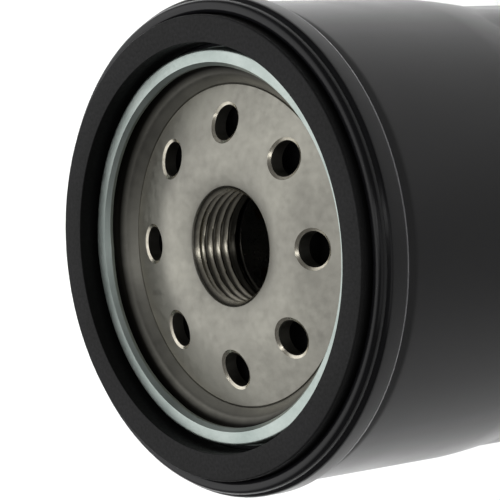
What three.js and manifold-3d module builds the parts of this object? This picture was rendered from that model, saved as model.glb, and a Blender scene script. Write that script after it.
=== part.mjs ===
// A spin-on engine oil filter, in millimetres, +Z up. It stands on its closed end, with the threaded end up.
// The origin is the centre of the closed end's flat underside, and +Z is the thread's axis.
import * as THREE from 'three';
import { mergeVertices } from 'three/addons/utils/BufferGeometryUtils.js';
import Module from 'manifold-3d';

const wasm = await Module();
wasm.setup();

// ---- Driving dimensions ----
const OVERALL_HEIGHT = 86; // closed end to the gasket's sealing face
const SHEET = 0.5; // can and lid steel
const CLEARANCE = 0.1; // between pieces that are stacked or nested
const RUNNING_GAP = 0.3; // between pieces that move apart

// Can
const CAN_RADIUS = 38.1;
const CAN_END_RADIUS = 7; // the edge round the closed end
const END_PANEL_RADIUS = 20; // the stiffening panel pressed into the closed end
const END_PANEL_RISE = 1;
const SHOULDER_DEPTH = 40; // where the can starts to narrow towards its flats
const SHOULDER_LENGTH = 19;
const SHOULDER_NARROWING = 2.1;
const FLAT_COUNT = 8;
const FLAT_PHASE = 36; // degrees, the first flat's normal
const FLAT_DISTANCE = 36.4; // axis to flat
const FLAT_CORNER_RADIUS = 23; // the rounding between two flats
const NECK_DEPTH = 9.5; // where the can starts to neck in below the seam

// Double seam: five layers of sheet, counted inwards from the outer wall
const SEAM_OUTER_RADIUS = 39.25;
const SEAM_LAYER_GAP = 0.08;
const SEAM_TOP_DEPTH = 1.6;
const SEAM_STEP_DEPTH = 2.7; // the lower, outer bead
const SEAM_BOTTOM_DEPTH = 6.8;

// Seaming lid
const LIP_RADIUS = 28.1;
const LIP_DEPTH = 3.5;
const CREST_INNER_RADIUS = 28.9;
const CREST_OUTER_RADIUS = 31;
const CREST_DEPTH = 2.7;
const CHANNEL_DEPTH = 6;

// Gasket
const GASKET_INNER_RADIUS = 32;
const GASKET_WIDTH = 4.3;

// Base plate
const PLATE_THICKNESS = 2.6;
const PLATE_SLOPE = 0.265; // fall of its dished face, outwards to the crease
const PLATE_CENTRE_DEPTH = 5.55; // the bore's mouth, in a hollow
const PLATE_CROWN_RADIUS = 13; // where the hollow and the slope would meet
const PLATE_CROWN_BEND = 6;
const PLATE_CREASE_RADIUS = 25.45;
const PLATE_CREASE_DEPTH = 7.1;
const PLATE_WALL_RADIUS = 28.6; // where the plate's rising wall meets its rim
const INLET_COUNT = 8;
const INLET_PHASE = -4.9; // degrees
const INLET_RADIUS = 2.65;
const INLET_CIRCLE_RADIUS = 19.5;
const INLET_BEVEL = 0.5;
const NECK_OUTER_RADIUS = 11.5;
const NECK_END_DEPTH = 15.5;
const THREAD_MAJOR_RADIUS = 9.525; // 3/4-16 UNF
const THREAD_MINOR_RADIUS = 8.73;
const THREAD_PITCH = 1.5875;
const LEAD_IN = 0.9; // bevel at the bore's mouth

// Anti-drain valve
const RUBBER = 1; // flap thickness
const FLAP_LIP_RADIUS = 24.3;
const FLAP_ROOT_DEPTH = 12;
const COLLAR_FLANGE_RADIUS = 17;

// Cartridge
const CAP_SHEET = 0.5;
const CAP_RADIUS = 33.1;
const CAP_SKIRT = 3.8; // length of the outer skirt
const THREAD_CAP_DEPTH = 15.2;
const DOME_CAP_HEIGHT = 11.1;
const ADHESIVE = 1.5;
const TUBE_RADIUS = 15; // outer
const TUBE_WALL = 0.4;
const TUBE_HOLE_RADIUS = 2;
const TUBE_HOLES_ROUND = 8;
const TUBE_HOLE_ROWS = 4;
const PLEAT_COUNT = 40;
const PAPER = 0.7;
const PLEAT_OUTER_RADIUS = 32;
const CLIP_DEPTH = 6; // how far the clip reaches in from the pleat's fold
const CLIP_SHEET = 0.4;

// Bypass valve
const PORT_RADIUS = 6.5;
const SEAL_WIDTH = 2.1;
const SEAL_HEIGHT = 0.8;
const POPPET_THICKNESS = 1;
const POPPET_STEM_RADIUS = 3;
const POPPET_STEM_HEIGHT = 5;
const CAGE_RADIUS = 11.5;
const CAGE_HEIGHT = 14.2;
const CAGE_WINDOWS = 4;
const CAGE_WINDOW_WIDTH = 8;
const SPRING_WIRE = 1.2;
const SPRING_RADIUS = 5.6; // axis to the wire's centre
const SPRING_TURNS = 4.5;
const SPRING_SEAT_THICKNESS = 0.6;

// Support spring
const LEAF_SHEET = 0.8;
const LEAF_RING_INNER_RADIUS = 9.5;
const LEAF_RING_OUTER_RADIUS = 16;
const LEAF_COUNT = 4;
const LEAF_WIDTH = 8;
const LEAF_FOOT_RADIUS = 24.5;
const LEAF_TIP = 3; // the foot's turned-up end, measured outwards

// Facets round a circle
const SHORTEST_EDGE = 0.002;
const ROWS_PER_PITCH = 4; // of facets along the thread
const LARGE_FACETS = 36;
const MEDIUM_FACETS = 24;
const SMALL_FACETS = 14;

const below = (depth) => OVERALL_HEIGHT - depth; // height of a point that lies a depth below the gasket's face
const radians = THREE.MathUtils.degToRad;
const seamLayer = (layer) => SEAM_OUTER_RADIUS - SHEET / 2 - layer * (SHEET + SEAM_LAYER_GAP);

// ---- Outlines and solids ----

// Points of a line through corners [radius, height, bend], each corner with a bend rounded by an arc.
function bentLine(corners, closed = false) {
  const at = (index) => new THREE.Vector2(...corners[(index + corners.length) % corners.length].slice(0, 2));
  const points = [];
  corners.forEach(([, , bend = 0], index) => {
    const corner = at(index);
    const isEnd = !closed && (index === 0 || index === corners.length - 1);
    if (isEnd || bend === 0) {
      points.push(corner);
      return;
    }
    const back = at(index - 1).sub(corner).normalize();
    const on = at(index + 1).sub(corner).normalize();
    const turn = Math.PI - Math.acos(THREE.MathUtils.clamp(back.dot(on), -1, 1));
    const centre = back.clone().add(on).normalize().multiplyScalar(bend / Math.cos(turn / 2)).add(corner);
    const start = back.multiplyScalar(bend * Math.tan(turn / 2)).add(corner);
    const side = Math.sign(start.clone().sub(corner).cross(on));
    const steps = bend < 1 ? 1 : 2;
    for (let step = 0; step <= steps; step += 1) {
      points.push(start.clone().rotateAround(centre, -side * turn * (step / steps)));
    }
  });
  return points;
}

// The closed outline of a bent sheet whose middle follows the corners.
function sheetOutline(corners, thickness) {
  const middle = bentLine(corners);
  const sides = [[], []];
  middle.forEach((point, index) => {
    const into = point.clone().sub(middle[Math.max(index - 1, 0)]);
    const out = middle[Math.min(index + 1, middle.length - 1)].clone().sub(point);
    const first = (index === 0 ? out : into).normalize();
    const second = (index === middle.length - 1 ? first : out).normalize();
    const normal = new THREE.Vector2(-first.y - second.y, first.x + second.x).normalize();
    const reach = thickness / 2 / Math.sqrt((1 + first.dot(second)) / 2);
    sides[0].push(point.clone().addScaledVector(normal, reach));
    sides[1].push(point.clone().addScaledVector(normal, -reach));
  });
  return [...sides[0], ...sides[1].reverse()];
}

// An outline of [radius, height] points turned about the Z axis.
function turned(outline, facets) {
  const points = THREE.ShapeUtils.area(outline) > 0 ? [...outline] : [...outline].reverse();
  points.push(points[0].clone());
  return new THREE.LatheGeometry(points, facets).rotateX(Math.PI / 2);
}

const turnedSheet = (corners, thickness, facets) => turned(sheetOutline(corners, thickness), facets);

// A flat-ended ring, from its bottom to its top.
function ring(innerRadius, outerRadius, bottom, top, facets) {
  const outline = [[innerRadius, bottom], [outerRadius, bottom], [outerRadius, top], [innerRadius, top]];
  return turned(outline.map(([r, z]) => new THREE.Vector2(r, z)), facets);
}

// A three.js geometry as a manifold solid: shared vertices merged, collapsed triangles left out.
function solid(geometry) {
  const bare = geometry.clone();
  bare.deleteAttribute('normal');
  bare.deleteAttribute('uv');
  const merged = mergeVertices(bare, 1e-4);
  const triangles = [];
  for (let i = 0; i < merged.index.count; i += 3) {
    const [a, b, c] = [0, 1, 2].map((k) => merged.index.getX(i + k));
    if (a !== b && b !== c && c !== a) triangles.push(a, b, c);
  }
  const mesh = new wasm.Mesh({
    numProp: 3,
    vertProperties: new Float32Array(merged.attributes.position.array),
    triVerts: new Uint32Array(triangles),
  });
  return new wasm.Manifold(mesh);
}

// A manifold solid back as a three.js geometry, without edges too short to matter.
function geometryOf(body) {
  const { vertProperties, triVerts } = body.simplify(SHORTEST_EDGE).getMesh();
  const geometry = new THREE.BufferGeometry();
  geometry.setAttribute('position', new THREE.BufferAttribute(vertProperties, 3));
  geometry.setIndex(new THREE.BufferAttribute(triVerts, 1));
  return geometry;
}

// Copies of a geometry evenly round the Z axis, joined to or cut from a body.
function patternRound(body, count, phase, geometry, cut) {
  let result = body;
  for (let copy = 0; copy < count; copy += 1) {
    const placed = solid(geometry.clone().rotateZ(radians(phase + (360 / count) * copy)));
    result = cut ? result.subtract(placed) : result.add(placed);
  }
  return result;
}

// ---- Can ----

// A prism with the can's wrench flats: a regular polygon with rounded corners.
function flatsPrism(inset, bottom, top) {
  const cornerRadius = FLAT_CORNER_RADIUS - inset;
  const centreDistance = (FLAT_DISTANCE - FLAT_CORNER_RADIUS) / Math.cos(Math.PI / FLAT_COUNT);
  const shape = new THREE.Shape();
  for (let corner = 0; corner < FLAT_COUNT; corner += 1) {
    const facing = radians(FLAT_PHASE) + ((2 * corner + 1) * Math.PI) / FLAT_COUNT;
    const half = Math.PI / FLAT_COUNT;
    const x = centreDistance * Math.cos(facing);
    const y = centreDistance * Math.sin(facing);
    for (let step = 0; step <= 3; step += 1) {
      const angle = facing - half + (2 * half * step) / 3;
      const point = [x + cornerRadius * Math.cos(angle), y + cornerRadius * Math.sin(angle)];
      if (corner === 0 && step === 0) shape.moveTo(...point);
      else shape.lineTo(...point);
    }
  }
  return new THREE.ExtrudeGeometry(shape, { depth: top - bottom, bevelEnabled: false }).translate(0, 0, bottom);
}

// The can's outer form drawn in by an inset: a barrel that narrows, its flats, and the rounded closed end.
function canForm(inset, top) {
  const shoulder = below(SHOULDER_DEPTH);
  const barrel = [new THREE.Vector2(0, top), new THREE.Vector2(CAN_RADIUS - inset, top)];
  for (let step = 0; step <= 4; step += 1) {
    const share = step / 4;
    const narrowing = SHOULDER_NARROWING * share ** 1.5;
    barrel.push(new THREE.Vector2(CAN_RADIUS - inset - narrowing, shoulder - SHOULDER_LENGTH * share));
  }
  barrel.push(new THREE.Vector2(0, shoulder - SHOULDER_LENGTH));
  const panel = END_PANEL_RISE + inset;
  const rounding = bentLine([
    [0, top],
    [CAN_RADIUS + 1 - inset, top],
    [CAN_RADIUS + 1 - inset, shoulder - SHOULDER_LENGTH],
    [CAN_RADIUS - SHOULDER_NARROWING + 1.5 - inset, inset, CAN_END_RADIUS],
    [END_PANEL_RADIUS, inset, 1],
    [END_PANEL_RADIUS - 1, panel, 1],
    [0, panel],
  ]);
  const flats = solid(flatsPrism(inset, -1, shoulder - 2));
  return solid(turned(barrel, LARGE_FACETS)).add(flats).intersect(solid(turned(rounding, LARGE_FACETS)));
}

// The can: form, hollow, and a mouth that necks in and hooks over into the seam.
function housingCan() {
  const necking = below(NECK_DEPTH);
  const shell = canForm(0, necking).subtract(canForm(SHEET, necking + 1));
  const mouth = turnedSheet([
    [CAN_RADIUS - SHEET / 2, necking - 1],
    [CAN_RADIUS - SHEET / 2, necking],
    [seamLayer(3), below(SEAM_BOTTOM_DEPTH + 0.7)],
    [seamLayer(3), below(SEAM_TOP_DEPTH + 2 * SHEET + 4 * CLEARANCE)],
    [seamLayer(1), below(SEAM_STEP_DEPTH + 2 * SHEET + 5 * CLEARANCE)],
    [seamLayer(1), below(SEAM_BOTTOM_DEPTH - SHEET - 0.8)],
  ], SHEET, LARGE_FACETS);
  return geometryOf(shell.add(solid(mouth)));
}

// ---- Seaming lid, seam compound and gasket ----

function seamingLid() {
  const half = SHEET / 2;
  return turnedSheet([
    [LIP_RADIUS + half, below(LIP_DEPTH + half)],
    [CREST_INNER_RADIUS + half, below(CREST_DEPTH + half)],
    [CREST_OUTER_RADIUS - half, below(CREST_DEPTH + half), 0.6],
    [CREST_OUTER_RADIUS - half, below(CHANNEL_DEPTH + half)],
    [seamLayer(4), below(CHANNEL_DEPTH + half)],
    [seamLayer(4), below(SEAM_TOP_DEPTH + half), 0.5],
    [seamLayer(2), below(SEAM_TOP_DEPTH + half), 0.5],
    [seamLayer(2) + 0.2, below(SEAM_STEP_DEPTH + half)],
    [seamLayer(0), below(SEAM_STEP_DEPTH + half), 0.4],
    [seamLayer(0), below(SEAM_BOTTOM_DEPTH - half)],
    [seamLayer(2), below(SEAM_BOTTOM_DEPTH - half)],
    [seamLayer(2), below(SEAM_STEP_DEPTH + 4 * SHEET)],
  ], SHEET, LARGE_FACETS);
}

function seamCompound() {
  const top = below(SEAM_STEP_DEPTH + 3 * SHEET);
  const bottom = below(SEAM_STEP_DEPTH + 4 * SHEET - CLEARANCE);
  return ring(seamLayer(2) - 0.2, seamLayer(2) + 0.2, bottom, top, LARGE_FACETS);
}

function sealingGasket() {
  const outerRadius = GASKET_INNER_RADIUS + GASKET_WIDTH;
  return turned(bentLine([
    [GASKET_INNER_RADIUS, below(0)],
    [GASKET_INNER_RADIUS, below(CHANNEL_DEPTH - CLEARANCE), 0.5],
    [outerRadius, below(CHANNEL_DEPTH - CLEARANCE), 0.5],
    [outerRadius, below(0), 0.3],
  ], true), LARGE_FACETS);
}

// ---- Base plate ----

const coneDepth = (radius) => PLATE_CREASE_DEPTH - PLATE_SLOPE * (PLATE_CREASE_RADIUS - radius);
const threadTop = below(PLATE_CENTRE_DEPTH + LEAD_IN);
const threadBottom = below(NECK_END_DEPTH);

// Forms the internal thread: the bore's inner points move out along a helix.
function threadBore(geometry) {
  const position = geometry.attributes.position;
  for (let i = 0; i < position.count; i += 1) {
    const [x, y, z] = [position.getX(i), position.getY(i), position.getZ(i)];
    const onWall = Math.abs(Math.hypot(x, y) - THREAD_MINOR_RADIUS) < 0.01;
    if (!onWall || z < threadBottom + 0.01 || z > threadTop - 0.01) continue;
    const turns = z / THREAD_PITCH - Math.atan2(y, x) / (2 * Math.PI);
    const height = Math.abs(2 * (turns - Math.floor(turns)) - 1);
    const scale = 1 + (height * (THREAD_MAJOR_RADIUS - THREAD_MINOR_RADIUS)) / THREAD_MINOR_RADIUS;
    position.setXY(i, x * scale, y * scale);
  }
  return geometry;
}

// A punched inlet hole's cutter, square to the plate's slope, with the bevel at its mouth; it lies at angle 0.
function inletCutter() {
  const reach = 2 * PLATE_THICKNESS;
  return turned([
    new THREE.Vector2(0, -reach),
    new THREE.Vector2(INLET_RADIUS, -reach),
    new THREE.Vector2(INLET_RADIUS, -INLET_BEVEL),
    new THREE.Vector2(INLET_RADIUS + 3 * INLET_BEVEL, 2 * INLET_BEVEL),
    new THREE.Vector2(0, 2 * INLET_BEVEL),
  ], SMALL_FACETS)
    .rotateY(Math.atan(PLATE_SLOPE))
    .translate(INLET_CIRCLE_RADIUS, 0, below(coneDepth(INLET_CIRCLE_RADIUS)));
}

function basePlate() {
  const rimTop = LIP_DEPTH + SHEET + CLEARANCE;
  const rimRadius = CREST_OUTER_RADIUS - SHEET - CLEARANCE;
  const wallBottom = PLATE_CREASE_DEPTH + PLATE_THICKNESS;
  const rows = Math.round(((threadTop - threadBottom) / THREAD_PITCH) * ROWS_PER_PITCH);
  const bore = Array.from({ length: rows + 1 }, (_, row) => (
    [THREAD_MINOR_RADIUS, THREE.MathUtils.lerp(threadBottom, threadTop, row / rows)]
  ));
  const outline = bentLine([
    ...bore,
    [THREAD_MINOR_RADIUS + LEAD_IN, below(PLATE_CENTRE_DEPTH)],
    [PLATE_CROWN_RADIUS, below(coneDepth(PLATE_CROWN_RADIUS)), PLATE_CROWN_BEND],
    [PLATE_CREASE_RADIUS, below(PLATE_CREASE_DEPTH)],
    [PLATE_WALL_RADIUS, below(rimTop), 0.5],
    [rimRadius, below(rimTop)],
    [rimRadius, below(CHANNEL_DEPTH)],
    [PLATE_WALL_RADIUS + 1.5, below(CHANNEL_DEPTH)],
    [PLATE_CREASE_RADIUS + 1.2, below(wallBottom)],
    [PLATE_CREASE_RADIUS - 1, below(coneDepth(PLATE_CREASE_RADIUS - 1) + PLATE_THICKNESS)],
    [PLATE_CROWN_RADIUS + 1, below(coneDepth(PLATE_CROWN_RADIUS + 1) + PLATE_THICKNESS)],
    [NECK_OUTER_RADIUS, below(PLATE_CENTRE_DEPTH + PLATE_THICKNESS)],
    [NECK_OUTER_RADIUS, below(NECK_END_DEPTH)],
  ], true);
  const plate = solid(threadBore(turned(outline, LARGE_FACETS)));
  return geometryOf(patternRound(plate, INLET_COUNT, INLET_PHASE, inletCutter(), true));
}

// ---- Anti-drain valve ----

const capHoleRadius = TUBE_RADIUS - TUBE_WALL - CLEARANCE - CAP_SHEET;
const collarRadius = capHoleRadius - CLEARANCE;
const flangeTop = THREAD_CAP_DEPTH - CLEARANCE - 0.8;

function antiDrainCollar() {
  const inner = NECK_OUTER_RADIUS + CLEARANCE;
  return turned(bentLine([
    [inner, below(PLATE_CENTRE_DEPTH + PLATE_THICKNESS + 1)],
    [inner, below(NECK_END_DEPTH + 2)],
    [collarRadius, below(NECK_END_DEPTH + 2), 0.4],
    [collarRadius, below(THREAD_CAP_DEPTH - CLEARANCE)],
    [COLLAR_FLANGE_RADIUS, below(THREAD_CAP_DEPTH - CLEARANCE)],
    [COLLAR_FLANGE_RADIUS, below(flangeTop)],
    [collarRadius, below(flangeTop)],
    [collarRadius, below(PLATE_CENTRE_DEPTH + PLATE_THICKNESS + 1), 0.4],
  ], true), MEDIUM_FACETS);
}

function antiDrainFlap() {
  const lipDepth = coneDepth(FLAP_LIP_RADIUS) + PLATE_THICKNESS + CLEARANCE + RUBBER / 2;
  return turnedSheet([
    [collarRadius + RUNNING_GAP + RUBBER / 4, below(FLAP_ROOT_DEPTH)],
    [FLAP_LIP_RADIUS - RUBBER, below(lipDepth), 2],
    [FLAP_LIP_RADIUS, below(lipDepth)],
  ], RUBBER, LARGE_FACETS);
}

// ---- Cartridge ----

const threadCapUnder = below(THREAD_CAP_DEPTH + CAP_SHEET);
const domeCapTop = DOME_CAP_HEIGHT + CAP_SHEET;
const mediaTop = threadCapUnder - ADHESIVE - 2 * CLEARANCE;
const mediaBottom = domeCapTop + ADHESIVE + 2 * CLEARANCE;
const skirtMiddle = CAP_RADIUS - CAP_SHEET / 2;

function threadEndCap() {
  const half = CAP_SHEET / 2;
  return turnedSheet([
    [skirtMiddle, threadCapUnder + half - CAP_SKIRT],
    [skirtMiddle, threadCapUnder + half],
    [capHoleRadius + half, threadCapUnder + half],
    [capHoleRadius + half, threadCapUnder + half - CAP_SKIRT],
  ], CAP_SHEET, MEDIUM_FACETS);
}

function domeEndCap() {
  const half = CAP_SHEET / 2;
  return turnedSheet([
    [skirtMiddle, domeCapTop - half + CAP_SKIRT],
    [skirtMiddle, domeCapTop - half],
    [PORT_RADIUS, domeCapTop - half],
  ], CAP_SHEET, MEDIUM_FACETS);
}

function adhesive(bottom) {
  return ring(TUBE_RADIUS + CLEARANCE, CAP_RADIUS - CAP_SHEET - 0.3, bottom, bottom + ADHESIVE, MEDIUM_FACETS);
}

// The perforated tube: rows of round holes, every other row turned by half a pitch.
function centreTube() {
  const bottom = domeCapTop + CLEARANCE;
  const top = threadCapUnder - CLEARANCE;
  let tube = solid(ring(TUBE_RADIUS - TUBE_WALL, TUBE_RADIUS, bottom, top, MEDIUM_FACETS));
  const pitch = (mediaTop - mediaBottom) / TUBE_HOLE_ROWS;
  for (let row = 0; row < TUBE_HOLE_ROWS; row += 1) {
    const height = mediaBottom + pitch * (row + 0.5);
    const drill = new THREE.CylinderGeometry(TUBE_HOLE_RADIUS, TUBE_HOLE_RADIUS, 4, 6)
      .rotateZ(Math.PI / 2)
      .translate(TUBE_RADIUS, 0, height);
    const phase = row % 2 ? 180 / TUBE_HOLES_ROUND : 0;
    tube = patternRound(tube, TUBE_HOLES_ROUND, phase, drill, true);
  }
  return geometryOf(tube);
}

// The paper: a zigzag band, drawn as its outer and its inner outline. A fold faces +X.
function pleatOutline(inset) {
  const pitch = (2 * Math.PI) / PLEAT_COUNT;
  const innerRadius = TUBE_RADIUS + 3 * CLEARANCE + PAPER;
  const points = [];
  for (let pleat = 0; pleat < PLEAT_COUNT; pleat += 1) {
    const middle = pleat * pitch;
    const fold = PLEAT_OUTER_RADIUS - inset;
    const valley = innerRadius - inset;
    const foldHalf = (PAPER - inset * 0.7) / 2 / fold;
    const valleyHalf = (inset * 1.3 + 0.2) / 2 / valley;
    const corners = [[fold, middle - foldHalf], [fold, middle + foldHalf]];
    corners.push([valley, middle + pitch / 2 - valleyHalf], [valley, middle + pitch / 2 + valleyHalf]);
    corners.forEach(([r, angle]) => points.push(new THREE.Vector2(r * Math.cos(angle), r * Math.sin(angle))));
  }
  return points;
}

function pleatedMedia() {
  const shape = new THREE.Shape(pleatOutline(0));
  shape.holes.push(new THREE.Path(pleatOutline(PAPER)));
  return new THREE.ExtrudeGeometry(shape, { depth: mediaTop - mediaBottom, bevelEnabled: false })
    .translate(0, 0, mediaBottom);
}

// The clip: a channel folded over the outer edge of the pleat that faces +X.
function mediaSeamClip() {
  const inside = PAPER / 2 + 1.1;
  const outer = PLEAT_OUTER_RADIUS + 0.05 + CLIP_SHEET;
  const back = PLEAT_OUTER_RADIUS - CLIP_DEPTH;
  const shape = new THREE.Shape([
    new THREE.Vector2(back, -inside - CLIP_SHEET),
    new THREE.Vector2(outer, -PAPER - CLIP_SHEET),
    new THREE.Vector2(outer, PAPER + CLIP_SHEET),
    new THREE.Vector2(back, inside + CLIP_SHEET),
    new THREE.Vector2(back, inside),
    new THREE.Vector2(outer - CLIP_SHEET, PAPER),
    new THREE.Vector2(outer - CLIP_SHEET, -PAPER),
    new THREE.Vector2(back, -inside),
  ]);
  return new THREE.ExtrudeGeometry(shape, { depth: mediaTop - mediaBottom, bevelEnabled: false })
    .translate(0, 0, mediaBottom);
}

// ---- Bypass valve ----

const sealBottom = domeCapTop + CLEARANCE;
const sealTop = sealBottom + SEAL_HEIGHT;
const poppetTop = sealTop + CLEARANCE + POPPET_THICKNESS;
const cageTop = domeCapTop + CLEARANCE + CAGE_HEIGHT;
const seatBottom = cageTop - CAP_SHEET - CLEARANCE - SPRING_SEAT_THICKNESS;

function bypassSeal() {
  return ring(PORT_RADIUS + 0.2, PORT_RADIUS + 0.2 + SEAL_WIDTH, sealBottom, sealTop, MEDIUM_FACETS);
}

function bypassPoppet() {
  return turned(bentLine([
    [0, sealTop + CLEARANCE],
    [PORT_RADIUS + 0.2 + SEAL_WIDTH, sealTop + CLEARANCE, 0.2],
    [PORT_RADIUS + 0.2 + SEAL_WIDTH, poppetTop, 0.3],
    [POPPET_STEM_RADIUS, poppetTop, 0.5],
    [POPPET_STEM_RADIUS, poppetTop + POPPET_STEM_HEIGHT, 0.6],
    [0, poppetTop + POPPET_STEM_HEIGHT],
  ]), SMALL_FACETS);
}

function bypassSpring() {
  const wireRadius = SPRING_WIRE / 2;
  const bottom = poppetTop + CLEARANCE + wireRadius;
  const rise = seatBottom - CLEARANCE - wireRadius - bottom;
  const path = new (class extends THREE.Curve {
    getPoint(share, target = new THREE.Vector3()) {
      const angle = share * SPRING_TURNS * 2 * Math.PI;
      return target.set(SPRING_RADIUS * Math.cos(angle), SPRING_RADIUS * Math.sin(angle), bottom + rise * share);
    }
  })();
  const wire = new THREE.Shape();
  wire.absarc(0, 0, wireRadius, 0, 2 * Math.PI);
  return new THREE.ExtrudeGeometry(wire, { extrudePath: path, steps: SPRING_TURNS * 12, curveSegments: 3 });
}

function bypassSpringSeat() {
  const seatRadius = SPRING_RADIUS + SPRING_WIRE;
  return ring(POPPET_STEM_RADIUS + RUNNING_GAP, seatRadius, seatBottom, seatBottom + SPRING_SEAT_THICKNESS, SMALL_FACETS);
}

// The cage: a flanged cup, open below, with windows in its wall and a hole in its roof.
function bypassHousing() {
  const half = CAP_SHEET / 2;
  const flange = domeCapTop + CLEARANCE + half;
  let cage = solid(turnedSheet([
    [capHoleRadius, flange],
    [CAGE_RADIUS - half, flange, 0.4],
    [CAGE_RADIUS - half, cageTop - half, 0.8],
    [POPPET_STEM_RADIUS + RUNNING_GAP, cageTop - half],
  ], CAP_SHEET, MEDIUM_FACETS));
  const windowHeight = CAGE_HEIGHT - 5;
  const window = new THREE.BoxGeometry(6, CAGE_WINDOW_WIDTH, windowHeight)
    .translate(CAGE_RADIUS, 0, (flange + cageTop) / 2);
  cage = patternRound(cage, CAGE_WINDOWS, 0, window, true);
  return geometryOf(cage);
}

// ---- Support spring ----

// A stamped ring with bent leaves that stand on the can's closed end.
function supportSpring() {
  const half = LEAF_SHEET / 2;
  const ringMiddle = DOME_CAP_HEIGHT - CLEARANCE - half;
  const foot = SHEET + CLEARANCE + half;
  const leaf = sheetOutline([
    [LEAF_RING_OUTER_RADIUS - 3, ringMiddle],
    [LEAF_RING_OUTER_RADIUS, ringMiddle, 2],
    [LEAF_FOOT_RADIUS, foot, 2],
    [LEAF_FOOT_RADIUS + LEAF_TIP, foot + 0.5],
  ], LEAF_SHEET);
  const leafGeometry = new THREE.ExtrudeGeometry(new THREE.Shape(leaf), { depth: LEAF_WIDTH, bevelEnabled: false })
    .translate(0, 0, -LEAF_WIDTH / 2)
    .rotateX(Math.PI / 2);
  const plate = ring(LEAF_RING_INNER_RADIUS, LEAF_RING_OUTER_RADIUS, ringMiddle - half, ringMiddle + half, MEDIUM_FACETS);
  return geometryOf(patternRound(solid(plate), LEAF_COUNT, 45, leafGeometry, false));
}

// ---- The filter ----

const finishes = {
  blackEnamel: { color: '#17181a', roughness: 0.32, metalness: 0 },
  zincPlate: { color: '#b4beb8', roughness: 0.35, metalness: 1 },
  bareSteel: { color: '#a3a197', roughness: 0.4, metalness: 1 },
  tinPlate: { color: '#b9b8b2', roughness: 0.3, metalness: 1 },
  springSteel: { color: '#8b8c8c', roughness: 0.35, metalness: 1 },
  blackRubber: { color: '#242425', roughness: 0.75, metalness: 0 },
  compound: { color: '#5c6a60', roughness: 0.7, metalness: 0 },
  paper: { color: '#c8a45c', roughness: 0.9, metalness: 0 },
  plastisol: { color: '#9a3b2c', roughness: 0.5, metalness: 0 },
  nylon: { color: '#d8d3c4', roughness: 0.5, metalness: 0 },
};

const pieces = [
  ['housing_can', housingCan(), 'blackEnamel'],
  ['seaming_lid', seamingLid(), 'zincPlate'],
  ['seam_compound', seamCompound(), 'compound'],
  ['sealing_gasket', sealingGasket(), 'blackRubber'],
  ['base_plate', basePlate(), 'bareSteel'],
  ['anti_drain_collar', antiDrainCollar(), 'blackRubber'],
  ['anti_drain_flap', antiDrainFlap(), 'blackRubber'],
  ['thread_end_cap', threadEndCap(), 'tinPlate'],
  ['thread_end_adhesive', adhesive(threadCapUnder - CLEARANCE - ADHESIVE), 'plastisol'],
  ['pleated_media', pleatedMedia(), 'paper'],
  ['media_seam_clip', mediaSeamClip(), 'tinPlate'],
  ['centre_tube', centreTube(), 'tinPlate'],
  ['dome_end_adhesive', adhesive(domeCapTop + CLEARANCE), 'plastisol'],
  ['dome_end_cap', domeEndCap(), 'tinPlate'],
  ['bypass_housing', bypassHousing(), 'tinPlate'],
  ['bypass_seal', bypassSeal(), 'blackRubber'],
  ['bypass_poppet', bypassPoppet(), 'nylon'],
  ['bypass_spring', bypassSpring(), 'springSteel'],
  ['bypass_spring_seat', bypassSpringSeat(), 'springSteel'],
  ['support_spring', supportSpring(), 'springSteel'],
];

const filter = new THREE.Group();
for (const [name, geometry, finish] of pieces) {
  const mesh = new THREE.Mesh(geometry, new THREE.MeshStandardMaterial(finishes[finish]));
  mesh.name = name;
  filter.add(mesh);
}

export default filter;
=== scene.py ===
import math

import bmesh
import bpy
import numpy as np
from mathutils import Matrix, Vector


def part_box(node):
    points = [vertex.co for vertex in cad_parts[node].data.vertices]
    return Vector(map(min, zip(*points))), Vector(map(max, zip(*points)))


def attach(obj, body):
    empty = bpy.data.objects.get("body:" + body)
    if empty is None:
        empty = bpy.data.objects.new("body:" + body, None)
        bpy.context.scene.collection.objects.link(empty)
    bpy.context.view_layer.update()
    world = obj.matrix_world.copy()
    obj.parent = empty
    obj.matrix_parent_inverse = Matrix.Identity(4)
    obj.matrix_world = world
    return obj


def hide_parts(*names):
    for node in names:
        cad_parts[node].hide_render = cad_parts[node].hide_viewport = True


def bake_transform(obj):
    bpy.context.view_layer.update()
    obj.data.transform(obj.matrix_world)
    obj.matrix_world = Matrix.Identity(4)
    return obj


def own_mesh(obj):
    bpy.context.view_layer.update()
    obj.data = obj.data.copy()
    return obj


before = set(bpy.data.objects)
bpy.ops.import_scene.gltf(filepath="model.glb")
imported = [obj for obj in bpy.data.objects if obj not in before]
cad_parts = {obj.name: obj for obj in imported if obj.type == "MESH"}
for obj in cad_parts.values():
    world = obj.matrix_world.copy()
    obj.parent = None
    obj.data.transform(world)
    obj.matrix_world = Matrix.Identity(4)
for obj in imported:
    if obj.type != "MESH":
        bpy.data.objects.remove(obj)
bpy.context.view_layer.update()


# ---- Camera ----
# A long lens looks down on the threaded end from one side. It is rolled until the filter's axis
# runs across the view, with the threaded end at the left and the can running out at the right.
MM = 0.001
gasket_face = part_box("sealing_gasket")[1].z
aim = Vector((4.6 * MM, -0.85 * MM, gasket_face - 5.6 * MM))
camera_distance = 393.9 * MM
camera_off_axis = math.radians(50.09)
camera_azimuth = math.radians(0.16)
camera_roll = math.radians(5.68)
sensor_width = 36.0
lens_length = 182.85

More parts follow.
